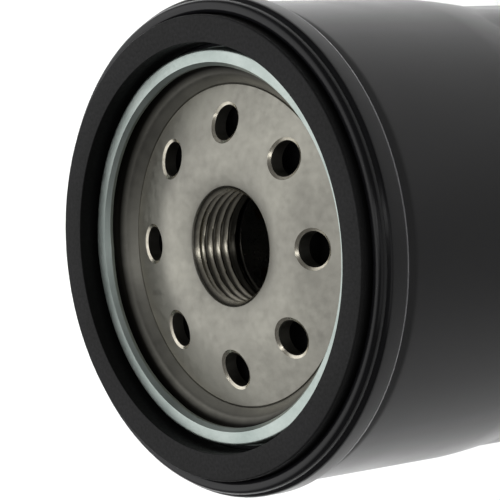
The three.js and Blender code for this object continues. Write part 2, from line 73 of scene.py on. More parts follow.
away = Vector((
    math.sin(camera_off_axis) * math.cos(camera_azimuth),
    math.sin(camera_off_axis) * math.sin(camera_azimuth),
    math.cos(camera_off_axis),
))
level_right = Vector((0, 1, 0)).cross(away).normalized()
level_up = away.cross(level_right)
view_right = level_right * math.cos(camera_roll) - level_up * math.sin(camera_roll)
view_up = level_up * math.cos(camera_roll) + level_right * math.sin(camera_roll)
camera_data = bpy.data.cameras.new("camera")
camera_data.sensor_width = sensor_width
camera_data.lens = lens_length
camera_data.clip_start = 0.01
camera = bpy.data.objects.new("camera", camera_data)
camera.matrix_world = Matrix.Translation(aim + away * camera_distance) @ Matrix(
    (view_right, view_up, away)).transposed().to_4x4()
bpy.context.scene.collection.objects.link(camera)
bpy.context.scene.camera = camera
bpy.context.scene.view_settings.view_transform = "Standard"


# ---- Floor and light ----
# A plain pale floor under a soft key from the far side, a backdrop light that keeps the floor beside
# the can white, a weak near-side fill and a strip overhead. The world is a dim studio with one large
# bright panel, opposite the camera, which is what the bare steel and the zinc mirror. The panel's
# rim and core are cosines of the angle from its middle.
def linear(colour):
    """An sRGB hex colour as linear RGBA: each channel is the sRGB curve turned back."""
    channels = [int(colour[i:i + 2], 16) / 255 for i in (1, 3, 5)]
    return [c / 12.92 if c <= 0.04045 else ((c + 0.055) / 1.055) ** 2.4 for c in channels] + [1.0]


def add_node(tree, kind, inputs=None, **settings):
    """A node with its settings, and each input given a value or joined to another node's output."""
    node = tree.nodes.new(kind)
    for name, value in settings.items():
        setattr(node, name, value)
    for name, value in (inputs or {}).items():
        if isinstance(value, bpy.types.NodeSocket):
            tree.links.new(value, node.inputs[name])
        else:
            node.inputs[name].default_value = value
    return node


def new_material(name):
    """An empty material and its node tree."""
    material = bpy.data.materials.new(name)
    material.use_nodes = True
    material.node_tree.nodes.clear()
    return material, material.node_tree


def finish_material(tree, surface):
    """Joins the surface shader to the material's output."""
    add_node(tree, "ShaderNodeOutputMaterial", {"Surface": surface.outputs[0]})


floor_half = 2.5
floor_mesh = bpy.data.meshes.new("studio_floor")
floor_mesh.from_pydata(
    [(-floor_half, -floor_half, 0), (floor_half, -floor_half, 0),
     (floor_half, floor_half, 0), (-floor_half, floor_half, 0)], [], [(0, 1, 2, 3)])
floor = bpy.data.objects.new("studio_floor", floor_mesh)
bpy.context.scene.collection.objects.link(floor)
floor_paper, tree = new_material("white_paper_sweep")
finish_material(tree, add_node(tree, "ShaderNodeBsdfPrincipled", {
    "Base Color": linear("#f4f4f4"), "Roughness": 0.9, "Specular IOR Level": 0.2}))
floor_mesh.materials.append(floor_paper)


def soft_light(name, place, target, width, height, power):
    """A rectangular area light at place, turned to face target."""
    data = bpy.data.lights.new(name, "AREA")
    data.shape = "RECTANGLE"
    data.size = width
    data.size_y = height
    data.energy = power
    lamp = bpy.data.objects.new(name, data)
    lamp.location = place
    lamp.rotation_euler = (Vector(target) - Vector(place)).to_track_quat("-Z", "Y").to_euler()
    bpy.context.scene.collection.objects.link(lamp)
    return lamp


middle = (0, 0, gasket_face / 2)
key = soft_light("key", (-0.85, 0.15, 0.5), middle, width=0.5, height=0.4, power=6)
backdrop = soft_light("backdrop", (-0.2, 0, 0.75), (-0.11, 0, 0), width=0.12, height=0.12, power=0.25)
backdrop.data.spread = math.radians(50)
key.visible_glossy = backdrop.visible_glossy = False
soft_light("fill", (0.8, -0.2, 0.45), middle, width=0.7, height=0.7, power=0.6)
soft_light("overhead", (0.35, 0.05, 1.0), (0, 0, gasket_face), width=0.1, height=0.6, power=0.5)

panel_direction = (-0.655, 0.1, 0.749)
panel_rim, panel_core = 0.62, 0.94
studio_dim, panel_bright = 0.11, 1.12

world = bpy.data.worlds.new("studio")
world.use_nodes = True
tree = world.node_tree
tree.nodes.clear()
direction = add_node(tree, "ShaderNodeTexCoord").outputs["Generated"]
toward_panel = add_node(tree, "ShaderNodeVectorMath", {0: direction, 1: panel_direction},
                        operation="DOT_PRODUCT")
glow = add_node(tree, "ShaderNodeMapRange", {
    "Value": toward_panel.outputs["Value"], "From Min": panel_rim, "From Max": panel_core,
    "To Min": studio_dim, "To Max": panel_bright}, interpolation_type="SMOOTHSTEP")
background = add_node(tree, "ShaderNodeBackground", {
    "Color": (1, 1, 1, 1), "Strength": glow.outputs["Result"]})
add_node(tree, "ShaderNodeOutputWorld", {"Surface": background.outputs[0]})
bpy.context.scene.world = world


# ---- Can ----
# A cup deep-drawn from 0.5 mm steel strip. Its closed end is pressed into eight wrench flats and a
# stiffening panel, its mouth is necked in and hooked over into the seam, and it is baked in enamel.
SHEET = 0.5
CAN_RADIUS = 38.1
SEAM_RADIUS = 39.25
SEAM_LAYER = 0.58
face_mm = gasket_face / MM


def below(depth):
    """Height in millimetres of a point that lies a depth under the gasket's face."""
    return face_mm - depth


def seam_layer(layer):
    """Radius of the middle of one of the double seam's five layers, counted inwards."""
    return SEAM_RADIUS - SHEET / 2 - layer * SEAM_LAYER


def bent_line(corners, steps=6, closed=False):
    """Points of a line through corners (radius, height, bend). A corner with a bend is an arc: its
    centre lies on the bisector, bend / cos(turn / 2) away, and the points turn about it equally."""
    corners = [tuple(c) + (0.0,) * (3 - len(c)) for c in corners]
    count = len(corners)
    points = []
    for i, (r, z, bend) in enumerate(corners):
        corner = np.array([r, z])
        if bend == 0 or (not closed and i in (0, count - 1)):
            points.append(corner[None])
            continue
        back = np.array(corners[i - 1][:2]) - corner
        onward = np.array(corners[(i + 1) % count][:2]) - corner
        back, onward = back / np.linalg.norm(back), onward / np.linalg.norm(onward)
        turn = math.pi - math.acos(np.clip(back @ onward, -1, 1))
        bisector = (back + onward) / np.linalg.norm(back + onward)
        centre = corner + bisector * bend / math.cos(turn / 2)
        spoke = corner + back * bend * math.tan(turn / 2) - centre
        way = -math.copysign(1, back[0] * onward[1] - back[1] * onward[0])
        angle = way * turn * np.linspace(0, 1, steps + 1)
        points.append(centre + np.stack([
            spoke[0] * np.cos(angle) - spoke[1] * np.sin(angle),
            spoke[0] * np.sin(angle) + spoke[1] * np.cos(angle)], axis=-1))
    return np.concatenate(points)


def sheet_sides(line, thickness):
    """The left and right side of a sheet whose middle is the line: each point moves along the mean
    normal of its two stretches, by half the thickness over the cosine of half their turn."""
    along = np.diff(line, axis=0)
    along /= np.linalg.norm(along, axis=1, keepdims=True)
    before = np.concatenate([along[:1], along])
    after = np.concatenate([along, along[-1:]])
    normal = np.stack([-(before + after)[:, 1], (before + after)[:, 0]], axis=-1)
    normal /= np.linalg.norm(normal, axis=1, keepdims=True)
    reach = thickness / 2 / np.sqrt((1 + (before * after).sum(1)) / 2)
    return line + normal * reach[:, None], line - normal * reach[:, None]


def sheet_outline(corners, thickness, steps=6):
    """The closed outline of a bent sheet."""
    left, right = sheet_sides(bent_line(corners, steps), thickness)
    return np.concatenate([left, right[::-1]])


def around(radius, height, angle):
    """Grid points (radius cos a, radius sin a, height) from rows of radii and heights."""
    return np.stack(np.broadcast_arrays(radius * np.cos(angle), radius * np.sin(angle), height), axis=-1)


def turned(outline, columns, change=None):
    """The outline carried round the axis. change(radius, height, angle) may alter both by angle."""
    angle = np.linspace(0, 2 * math.pi, columns, endpoint=False)
    radius = np.repeat(outline[:, :1], columns, axis=1)
    height = np.repeat(outline[:, 1:], columns, axis=1)
    if change is not None:
        radius, height = change(radius, height, angle)
    return around(radius, height, angle)


def grid_faces(rows, columns, close_rows, close_columns):
    """Quads between neighbouring grid points. A closed direction joins its last line to its first."""
    row = np.arange(rows if close_rows else rows - 1)[:, None]
    column = np.arange(columns if close_columns else columns - 1)[None]
    next_row, next_column = (row + 1) % rows, (column + 1) % columns
    return np.stack([row * columns + column, row * columns + next_column,
                     next_row * columns + next_column, next_row * columns + column], -1).reshape(-1, 4)


def make_piece(name, body, grids, finishes, pick=None, crease=35, replaces=()):
    """One closed piece from grids (points in millimetres, close_rows, close_columns). Shared edges
    and poles are merged. pick(centres) gives each face's place in finishes."""
    points, faces, first = [], [], 0
    for grid, close_rows, close_columns in grids:
        rows, columns = grid.shape[:2]
        points.append(grid.reshape(-1, 3) * MM)
        faces.append(grid_faces(rows, columns, close_rows, close_columns) + first)
        first += rows * columns
    mesh = bpy.data.meshes.new(name)
    mesh.from_pydata(np.concatenate(points).tolist(), [], np.concatenate(faces).tolist())
    work = bmesh.new()
    work.from_mesh(mesh)
    bmesh.ops.remove_doubles(work, verts=work.verts, dist=0.5e-6)
    bmesh.ops.recalc_face_normals(work, faces=work.faces)
    work.to_mesh(mesh)
    work.free()
    for finish in finishes:
        mesh.materials.append(finish)
    if pick is not None:
        centres = np.empty(len(mesh.polygons) * 3)
        mesh.polygons.foreach_get("center", centres)
        mesh.polygons.foreach_set("material_index", pick(centres.reshape(-1, 3) / MM).astype(np.int32))
    mesh.polygons.foreach_set("use_smooth", np.ones(len(mesh.polygons), bool))
    mesh.set_sharp_from_angle(angle=math.radians(crease))
    piece = bpy.data.objects.new(name, mesh)
    bpy.context.scene.collection.objects.link(piece)
    if body:
        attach(piece, body)
    if replaces:
        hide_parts(*replaces)
    return piece


def from_axis(tree, place):
    """The distance from the filter's axis: the length of the place with its height set to 0."""
    across = add_node(tree, "ShaderNodeVectorMath", {0: place, 1: (1, 1, 0)}, operation="MULTIPLY")
    return add_node(tree, "ShaderNodeVectorMath", {0: across.outputs["Vector"]},
                    operation="LENGTH").outputs["Value"]


def black_enamel():
    """Stoving enamel over drawn steel: near-black and glossy, with the faint orange peel, a few
    millimetres across, of a sprayed and baked coat, and a little dust-fine roughness in patches. At
    the seam's lower outer edge a grey band is painted in as a highlight: a mask by radius times one by
    height."""
    material, tree = new_material("black_stoving_enamel")
    place = add_node(tree, "ShaderNodeTexCoord").outputs["Object"]
    peel = add_node(tree, "ShaderNodeTexNoise", {"Vector": place, "Scale": 1 / (2.2 * MM), "Detail": 2.0})
    patches = add_node(tree, "ShaderNodeTexNoise", {"Vector": place, "Scale": 1 / (14 * MM), "Detail": 5.0})
    tint = add_node(tree, "ShaderNodeValToRGB", {"Fac": patches.outputs["Fac"]})
    tint.color_ramp.elements[0].position = 0.35
    tint.color_ramp.elements[0].color = linear("#0c0c0e")
    tint.color_ramp.elements[1].position = 0.7
    tint.color_ramp.elements[1].color = linear("#111113")
    gloss = add_node(tree, "ShaderNodeMapRange", {
        "Value": patches.outputs["Fac"], "From Min": 0.3, "From Max": 0.7, "To Min": 0.2, "To Max": 0.27})
    height = add_node(tree, "ShaderNodeSeparateXYZ", {"Vector": place})
    outermost = add_node(tree, "ShaderNodeMapRange", {
        "Value": from_axis(tree, place),
        "From Min": (SEAM_RADIUS - 0.5) * MM, "From Max": (SEAM_RADIUS - 0.15) * MM})
    lowest = add_node(tree, "ShaderNodeMapRange", {
        "Value": height.outputs["Z"], "From Min": below(6.2) * MM, "From Max": below(6.45) * MM})
    # Painted highlight: a grey band on the seam's lower outer edge stands in for a bright edge line.
    painted_highlight_mask = add_node(tree, "ShaderNodeMath", {0: outermost.outputs["Result"], 1: lowest.outputs["Result"]},
                      operation="MULTIPLY")
    enamel_with_painted_highlight = add_node(tree, "ShaderNodeMix", {
        "Factor": painted_highlight_mask.outputs["Value"], 6: tint.outputs["Color"], 7: linear("#77787a")}, data_type="RGBA")
    bump = add_node(tree, "ShaderNodeBump", {
        "Height": peel.outputs["Fac"], "Strength": 0.12, "Distance": 0.05 * MM})
    finish_material(tree, add_node(tree, "ShaderNodeBsdfPrincipled", {
        "Base Color": enamel_with_painted_highlight.outputs[2], "Roughness": gloss.outputs["Result"],
        "Normal": bump.outputs["Normal"], "IOR": 1.4}))
    return material


enamel = black_enamel()

shoulder_depth, shoulder_length, shoulder_narrowing = 40.0, 19.0, 2.1
flat_count, flat_distance, flat_rounding = 8, 36.4, 23.0
first_flat = math.radians(36)
end_rounding = 7.0
panel_radius, panel_rise = 20.0, 1.0
neck_depth = 9.5
can_columns = 384
can_angle = np.linspace(0, 2 * math.pi, can_columns, endpoint=False)

# Radius of the eight-sided end at each angle. Near a flat's normal it is distance / cos(angle off
# it); elsewhere it is the corner's arc, seen from the axis: c cos(a) + sqrt(R^2 - c^2 sin^2(a)).
sector = 2 * math.pi / flat_count
off_normal = (can_angle - first_flat + sector / 2) % sector - sector / 2
off_corner = sector / 2 - np.abs(off_normal)
corner_centre = (flat_distance - flat_rounding) / math.cos(sector / 2)
flat_end = math.atan(corner_centre * math.sin(sector / 2) / flat_distance)
end_radius = np.where(
    np.abs(off_normal) < flat_end, flat_distance / np.cos(off_normal),
    corner_centre * np.cos(off_corner)
    + np.sqrt(flat_rounding ** 2 - (corner_centre * np.sin(off_corner)) ** 2))
crease_share = ((CAN_RADIUS - end_radius) / shoulder_narrowing) ** (2 / 3)
crease_height = below(shoulder_depth + shoulder_length * crease_share)


def can_wall(inset):
    """Rows of radius and height from the closed end's pole to the neck, drawn in by an inset: panel,
    rounded edge, flats up to the crease, shoulder with its narrowing of share ** 1.5, and barrel."""
    end = bent_line([(0, panel_rise + inset), (panel_radius - 0.5, panel_rise + inset, 0.9),
                     (panel_radius + 0.6, inset, 0.9), (end_radius.min() - end_rounding - 0.5, inset)])
    ring = np.ones(can_columns)
    rows = [(end[:, :1] * ring, end[:, 1:] * ring)]
    turn = np.linspace(0, math.pi / 2, 12)[:, None]
    rows.append((end_radius - end_rounding + (end_rounding - inset) * np.sin(turn),
                 (end_rounding - (end_rounding - inset) * np.cos(turn)) * ring))
    up = np.linspace(0, 1, 12)[1:, None]
    rows.append(((end_radius - inset) * np.ones_like(up), end_rounding + (crease_height - end_rounding) * up))
    up = np.linspace(0, 1, 18)[1:, None]
    height = crease_height + (below(shoulder_depth) - crease_height) * up
    share = (below(shoulder_depth) - height) / shoulder_length
    rows.append((CAN_RADIUS - inset - shoulder_narrowing * share ** 1.5, height))
    up = np.linspace(0, 1, 8)[1:-1, None]
    rows.append(((CAN_RADIUS - inset) * np.ones_like(up) * ring,
                 (below(shoulder_depth) + (shoulder_depth - neck_depth - 1) * up) * ring))
    return np.concatenate([r for r, _ in rows]), np.concatenate([h for _, h in rows])


mouth = bent_line([
    (CAN_RADIUS - SHEET / 2, below(neck_depth + 1.5)),
    (CAN_RADIUS - SHEET / 2, below(neck_depth), 2.0),
    (seam_layer(3), below(7.6), 1.2),
    (seam_layer(3), below(3.0), 0.3),
    (seam_layer(1), below(4.2), 0.3),
    (seam_layer(1), below(5.5)),
])
mouth_inside, mouth_outside = sheet_sides(mouth, SHEET)
mouth_loop = np.concatenate([mouth_outside, mouth_inside[::-1]])
outer_radius, outer_height = can_wall(0)
inner_radius, inner_height = can_wall(SHEET)
ring = np.ones(can_columns)
can_radius = np.concatenate([outer_radius, mouth_loop[:, :1] * ring, inner_radius[::-1]])
can_height = np.concatenate([outer_height, mouth_loop[:, 1:] * ring, inner_height[::-1]])
make_piece("enamelled_can", "housing", [(around(can_radius, can_height, can_angle), False, True)],
           [enamel], crease=12, replaces=["housing_can"])


# ---- Seaming lid ----
# A ring pressed from 0.5 mm zinc-plated strip. Its crest is crimped on to the base plate at six
# places, its channel holds the gasket, and its rim is rolled with the can's mouth and enamelled.
crimp_count = 6
first_crimp = math.radians(-3)
lip_drop, crimp_drop, crimp_bulge = 0.62, 0.25, 0.15
crest_inner, lip_edge = 28.9, 28.3
crest_depth, channel_depth, seam_top, seam_step, seam_bottom = 2.7, 6.0, 1.6, 2.95, 7.0
crest_outer = 31.0
gasket_inner = 32.0
lid_half = SHEET / 2

lip = [(r, below(crest_depth + lid_half)) for r in np.linspace(lip_edge, crest_inner, 7)]
lid_outline = sheet_outline(lip + [
    (crest_inner + 0.1, below(crest_depth + lid_half)),
    (crest_outer - lid_half - 0.3, below(crest_depth + lid_half)),
    (crest_outer - lid_half, below(crest_depth + lid_half), 0.2),
    (crest_outer - lid_half, below(channel_depth + lid_half), 0.6),
    (seam_layer(4), below(channel_depth + lid_half), 0.6),
    (seam_layer(4), below(seam_top + lid_half), 0.56),
    (seam_layer(1), below(seam_top + lid_half), 0.75),
    (seam_layer(1) - 0.08, below(seam_step), 0.28),
    (seam_layer(0), below(seam_step + lid_half + 0.25), 0.5),
    (seam_layer(0), below(seam_bottom - lid_half), 0.5),
    (seam_layer(2), below(seam_bottom - lid_half), 0.5),
    (seam_layer(2), below(4.7)),
], SHEET, steps=7)


def crimped(radius, height, angle):
    """Near a crimp, 1 - |sin(3 angle)| to a power, the crest bulges out and its lip is pressed down;
    between crimps the lip springs back. Both fade out away from the crest."""
    crimp = (1 - np.abs(np.sin(crimp_count / 2 * (angle - first_crimp)))) ** 1.6
    on_lip = np.clip((crest_inner - radius) / (crest_inner - lip_edge), 0, 1.1)
    on_crest = np.clip((radius - 29.4) / 1.0, 0, 1) * np.clip((gasket_inner - radius) / 0.6, 0, 1)
    on_crest = on_crest * np.clip((height - below(4.6)) / 1.4, 0, 1)
    return radius + on_crest * crimp_bulge * crimp, height - on_lip * (lip_drop + crimp_drop * crimp)


def zinc_plate():
    """Clear-passivated zinc on rolled strip: a pale, faintly green-blue satin metal, its spangle
    and rolling grain a millimetre or less across, with soft stains from handling."""
    material, tree = new_material("passivated_zinc_plate")
    place = add_node(tree, "ShaderNodeTexCoord").outputs["Object"]
    grain = add_node(tree, "ShaderNodeTexNoise", {"Vector": place, "Scale": 1 / (0.5 * MM), "Detail": 4.0})
    stains = add_node(tree, "ShaderNodeTexNoise", {"Vector": place, "Scale": 1 / (7 * MM), "Detail": 5.0})
    tint = add_node(tree, "ShaderNodeValToRGB", {"Fac": stains.outputs["Fac"]})
    tint.color_ramp.elements[0].position = 0.3
    tint.color_ramp.elements[0].color = linear("#b4c0bb")
    tint.color_ramp.elements[1].position = 0.7
    tint.color_ramp.elements[1].color = linear("#cbd5d0")
    satin = add_node(tree, "ShaderNodeMapRange", {
        "Value": grain.outputs["Fac"], "From Min": 0.3, "From Max": 0.7, "To Min": 0.34, "To Max": 0.46})
    bump = add_node(tree, "ShaderNodeBump", {
        "Height": grain.outputs["Fac"], "Strength": 0.25, "Distance": 0.04 * MM})
    finish_material(tree, add_node(tree, "ShaderNodeBsdfPrincipled", {
        "Base Color": tint.outputs["Color"], "Metallic": 1.0, "Roughness": satin.outputs["Result"],
        "Normal": bump.outputs["Normal"]}))
    return material


def outside_gasket(centres):
    """1 where the lid is enamelled, outside the channel's inner wall."""
    return np.hypot(centres[:, 0], centres[:, 1]) > gasket_inner + 0.6


zinc = zinc_plate()
make_piece("crimped_lid", "housing", [(turned(lid_outline, 384, crimped), True, True)],
           [zinc, enamel], outside_gasket, crease=22, replaces=["seaming_lid"])


# ---- Gasket ----
# A square-cut ring of black nitrile rubber, lathe-cut from a moulded sleeve, pushed into the
# channel. Its face is flat and matte, its outer edge is eased.
gasket_width = 4.3
gasket_outline = bent_line([
    (gasket_inner, below(0), 0.15),
    (gasket_inner, below(channel_depth - 0.1), 0.5),
    (gasket_inner + gasket_width, below(channel_depth - 0.1), 0.5),
    (gasket_inner + gasket_width, below(0), 0.35),
], closed=True)


def nitrile_rubber():
    """Cut nitrile rubber: charcoal and matte, with a bloom in soft patches and the fine grain that
    the cutting blade leaves, drawn at half a millimetre so that it shows."""
    material, tree = new_material("black_nitrile_rubber")
    place = add_node(tree, "ShaderNodeTexCoord").outputs["Object"]
    grain = add_node(tree, "ShaderNodeTexNoise", {"Vector": place, "Scale": 1 / (0.5 * MM), "Detail": 4.0})
    bloom = add_node(tree, "ShaderNodeTexNoise", {"Vector": place, "Scale": 1 / (9 * MM), "Detail": 4.0})
    tint = add_node(tree, "ShaderNodeValToRGB", {"Fac": bloom.outputs["Fac"]})
    tint.color_ramp.elements[0].position = 0.3
    tint.color_ramp.elements[0].color = linear("#090909")
    tint.color_ramp.elements[1].position = 0.7
    tint.color_ramp.elements[1].color = linear("#0e0e0f")
    matte = add_node(tree, "ShaderNodeMapRange", {
        "Value": grain.outputs["Fac"], "From Min": 0.3, "From Max": 0.7, "To Min": 0.5, "To Max": 0.66})
    bump = add_node(tree, "ShaderNodeBump", {
        "Height": grain.outputs["Fac"], "Strength": 0.2, "Distance": 0.05 * MM})
    finish_material(tree, add_node(tree, "ShaderNodeBsdfPrincipled", {
        "Base Color": tint.outputs["Color"], "Roughness": matte.outputs["Result"],
        "Normal": bump.outputs["Normal"], "IOR": 1.35}))
    return material


rubber = nitrile_rubber()
make_piece("cut_gasket", "housing", [(turned(gasket_outline, 384), True, True)], [rubber],
           replaces=["sealing_gasket"])


# ---- Base plate ----
# A disc blanked and dished from 2.6 mm hot-rolled steel. Eight inlet holes are punched through it,
# and its middle is extruded into a neck and tapped with a 3/4-16 thread.
plate_thickness = 2.6
hole_count = 8
first_hole = math.radians(-4.9)
hole_circle, hole_radius, chamfer_width, chamfer_depth = 19.4, 2.75, 0.5, 0.3
thread_minor, thread_major, thread_pitch = 8.73, 9.525, 1.5875
neck_outer, neck_end = 11.5, 15.5
centre_depth, crease_depth, crease_radius = 5.55, 7.1, 25.45
cone_slope, hollow_radius, hollow_depth = 0.265, 18.5, 0.0132
wall_radius, rim_radius, rim_depth = 28.7, 30.25, 4.1
inner_zone, outer_zone = 14.6, 23.8
arc_cells, spoke_cells = 32, 16
plate_columns = hole_count * arc_cells


def plate_depth(radius):
    """Depth of the plate's top: a cone that falls outward to the crease, and inside it a hollow
    round the neck, which deepens by the power 2.4 of the distance in from the hollow's edge."""
    inward = np.maximum(hollow_radius - radius, 0)
    return crease_depth - cone_slope * (crease_radius - radius) + hollow_depth * inward ** 2.4


def hole_zone(centre_angle):
    """The plate round one hole, as rings from the sector's edge underneath, in to the hole, up its
    wall and out to the sector's edge on top. A ring is a mix of the hole's circle and the edge."""
    half = math.pi / hole_count
    arc = np.linspace(-half, half, arc_cells + 1)[:-1]
    spoke = np.linspace(0, 1, spoke_cells + 1)[:-1]
    edge_radius = np.concatenate([
        np.full(arc_cells, outer_zone), outer_zone + (inner_zone - outer_zone) * spoke,
        np.full(arc_cells, inner_zone), inner_zone + (outer_zone - inner_zone) * spoke])
    edge_angle = np.concatenate([arc, np.full(spoke_cells, half), -arc, np.full(spoke_cells, -half)])
    edge = np.stack([edge_radius * np.cos(edge_angle), edge_radius * np.sin(edge_angle)], axis=-1)
    facing = edge - [hole_circle, 0]
    facing = facing / np.linalg.norm(facing, axis=1, keepdims=True)
    mouth_reach = hole_radius + chamfer_width
    rings = []
    for share in np.linspace(1, 0, 7):
        rim = facing * (hole_radius + 0.1) + [hole_circle, 0]
        flat = rim + (edge - rim) * share
        rings.append((flat, plate_depth(np.linalg.norm(flat, axis=1)) + plate_thickness))
    for up in np.linspace(1, 0, 5):
        flat = facing * hole_radius + [hole_circle, 0]
        depth = plate_depth(np.linalg.norm(flat, axis=1)) + chamfer_depth + 0.05
        rings.append((flat, depth + (plate_thickness - chamfer_depth - 0.15) * up))
    for share, fall in ((0.06, 0.98), (0.5, 0.52), (0.9, 0.12)):
        flat = facing * (hole_radius + chamfer_width * share) + [hole_circle, 0]
        rings.append((flat, plate_depth(np.linalg.norm(flat, axis=1)) + chamfer_depth * fall))
    for share in np.linspace(0, 1, 9):
        rim = facing * mouth_reach + [hole_circle, 0]
        flat = rim + (edge - rim) * share
        rings.append((flat, plate_depth(np.linalg.norm(flat, axis=1))))
    flat = np.array([f for f, _ in rings])
    cos, sin = math.cos(centre_angle), math.sin(centre_angle)
    x = flat[..., 0] * cos - flat[..., 1] * sin
    y = flat[..., 0] * sin + flat[..., 1] * cos
    return np.stack([x, y, below(np.array([d for _, d in rings]))], axis=-1)


plate_angle = first_hole + np.linspace(-math.pi / hole_count, 2 * math.pi - math.pi / hole_count,
                                       plate_columns, endpoint=False)

# The outer zone: the last of the dome, the crease with its fine groove, the wall, rim and underside.
dome = [(r, below(plate_depth(r))) for r in np.linspace(outer_zone, crease_radius - 0.14, 5)]
under = [(r, below(plate_depth(r) + plate_thickness)) for r in (crease_radius - 0.6, outer_zone)]
rim_outline = bent_line(dome + [
    (crease_radius, below(crease_depth + 0.3), 0.03),
    (crease_radius + 0.14, below(crease_depth - 0.02), 0.1),
    (crease_radius + 1.5, below(crease_depth - 1.3), 2.0),
    (wall_radius - 0.3, below(rim_depth + 0.9), 1.0),
    (wall_radius, below(rim_depth), 0.1),
    (rim_radius, below(rim_depth), 0.3),
    (rim_radius, below(6.0), 0.3),
    (wall_radius + 1.5, below(6.0), 1.2),
    (crease_radius + 1.3, below(crease_depth + plate_thickness), 1.2),
] + under)
rim_grid = around(rim_outline[:, :1], rim_outline[:, 1:], plate_angle)

# The inner zone: the top's last stretch, the neck's rounded mouth, the bore and the neck's outside.
top = [(r, below(plate_depth(r))) for r in np.linspace(inner_zone, 9.9, 12)]
bore_top, bore_bottom = below(centre_depth + 0.8), below(neck_end - 0.5)
rows_per_turn = 14
bore_rows = int((bore_top - bore_bottom) / thread_pitch * rows_per_turn)
bore = [(thread_minor, z) for z in np.linspace(bore_top, bore_bottom, bore_rows)]
neck_outline = np.concatenate([
    bent_line(top + [(9.5, below(centre_depth - 0.1), 0.2), (9.4, below(centre_depth + 0.2), 0.1),
                     (thread_minor, below(centre_depth + 0.8))], steps=5)[:-1],
    np.array(bore),
    bent_line([(thread_minor + 0.5, below(neck_end)), (neck_outer, below(neck_end), 0.4),
               (neck_outer, below(7.6), 1.4),
               (inner_zone, below(7.2))]),
])
neck_outline[-1, 1] = below(plate_depth(inner_zone) + plate_thickness)


def threaded(radius, height):
    """The bore's points moved out along a helix. Across one pitch the radius swings from crest to
    root and back as half a raised cosine, to the power 0.8; it fades out at both ends."""
    turns = height / thread_pitch - plate_angle / (2 * math.pi)
    wave = (0.5 - 0.5 * np.cos(2 * math.pi * turns)) ** 0.8
    fade = np.clip((height - bore_bottom) / 0.3, 0, 1) * np.clip((bore_top - height) / 0.5, 0, 1)
    on_bore = np.abs(radius - thread_minor) < 0.001
    return radius + np.where(on_bore, wave * fade * (thread_major - thread_minor), 0)


neck_radius = np.repeat(neck_outline[:, :1], plate_columns, axis=1)
neck_height = np.repeat(neck_outline[:, 1:], plate_columns, axis=1)
neck_grid = around(threaded(neck_radius, neck_height), neck_height, plate_angle)


def shade_by_radius(tree, place, stops):
    """How much painted shade darkens the steel at each distance from the axis. The stops are pairs of a
    radius in millimetres and a share of tint, with a straight change between them."""
    first, last = stops[0][0], stops[-1][0]
    outward = add_node(tree, "ShaderNodeMapRange", {
        "Value": from_axis(tree, place), "From Min": first * MM, "From Max": last * MM})
    shade_ramp = add_node(tree, "ShaderNodeValToRGB", {"Fac": outward.outputs["Result"]})
    shade_ramp.color_ramp.elements[0].color = (stops[0][1],) * 3 + (1,)
    shade_ramp.color_ramp.elements[1].color = (stops[-1][1],) * 3 + (1,)
    for radius, share in stops[1:-1]:
        shade_ramp.color_ramp.elements.new((radius - first) / (last - first)).color = (share,) * 3 + (1,)
    return shade_ramp.outputs["Color"]


def pickled_steel():
    """Hot-rolled steel, pickled and oiled: a warm mid-grey metal, cloudy over centimetres, with
    the fine pitted grain of the pickling bath. Toward the rim, under the lid's lip, a mask by radius
    darkens it with painted shade, and a thin painted dark line marks the fine groove of the crease."""
    material, tree = new_material("pickled_oiled_steel")
    place = add_node(tree, "ShaderNodeTexCoord").outputs["Object"]
    clouds = add_node(tree, "ShaderNodeTexNoise", {
        "Vector": place, "Scale": 1 / (11 * MM), "Detail": 6.0, "Roughness": 0.6})
    grain = add_node(tree, "ShaderNodeTexNoise", {"Vector": place, "Scale": 1 / (0.35 * MM), "Detail": 3.0})
    pits = add_node(tree, "ShaderNodeTexNoise", {"Vector": place, "Scale": 1 / (1.4 * MM), "Detail": 6.0})
    tint = add_node(tree, "ShaderNodeValToRGB", {"Fac": clouds.outputs["Fac"]})
    tint.color_ramp.elements[0].position = 0.3
    tint.color_ramp.elements[0].color = linear("#95938b")
    tint.color_ramp.elements[1].position = 0.7
    tint.color_ramp.elements[1].color = linear("#aeaca2")
    # Painted shade: the plate darkens toward the rim under the lid's lip, and in a thin line in the crease's
    # groove.
    rim_and_crease_shade = shade_by_radius(tree, place, [
        (crease_radius - 0.2, 0), (crease_radius - 0.04, 0.75), (crease_radius + 0.12, 0.04),
        (crease_radius + 1.0, 0.2), (crease_radius + 2.6, 1)])
    shaded_tint = add_node(tree, "ShaderNodeMix", {
        "Factor": rim_and_crease_shade, 6: tint.outputs["Color"], 7: linear("#1c1b18")}, data_type="RGBA")
    dull = add_node(tree, "ShaderNodeMapRange", {
        "Value": pits.outputs["Fac"], "From Min": 0.3, "From Max": 0.7, "To Min": 0.36, "To Max": 0.5})
    fine = add_node(tree, "ShaderNodeBump", {
        "Height": grain.outputs["Fac"], "Strength": 0.25, "Distance": 0.03 * MM})
    bump = add_node(tree, "ShaderNodeBump", {
        "Height": pits.outputs["Fac"], "Strength": 0.2, "Distance": 0.08 * MM,
        "Normal": fine.outputs["Normal"]})
    finish_material(tree, add_node(tree, "ShaderNodeBsdfPrincipled", {
        "Base Color": shaded_tint.outputs[2], "Metallic": 1.0, "Roughness": dull.outputs["Result"],
        "Normal": bump.outputs["Normal"]}))
    return material


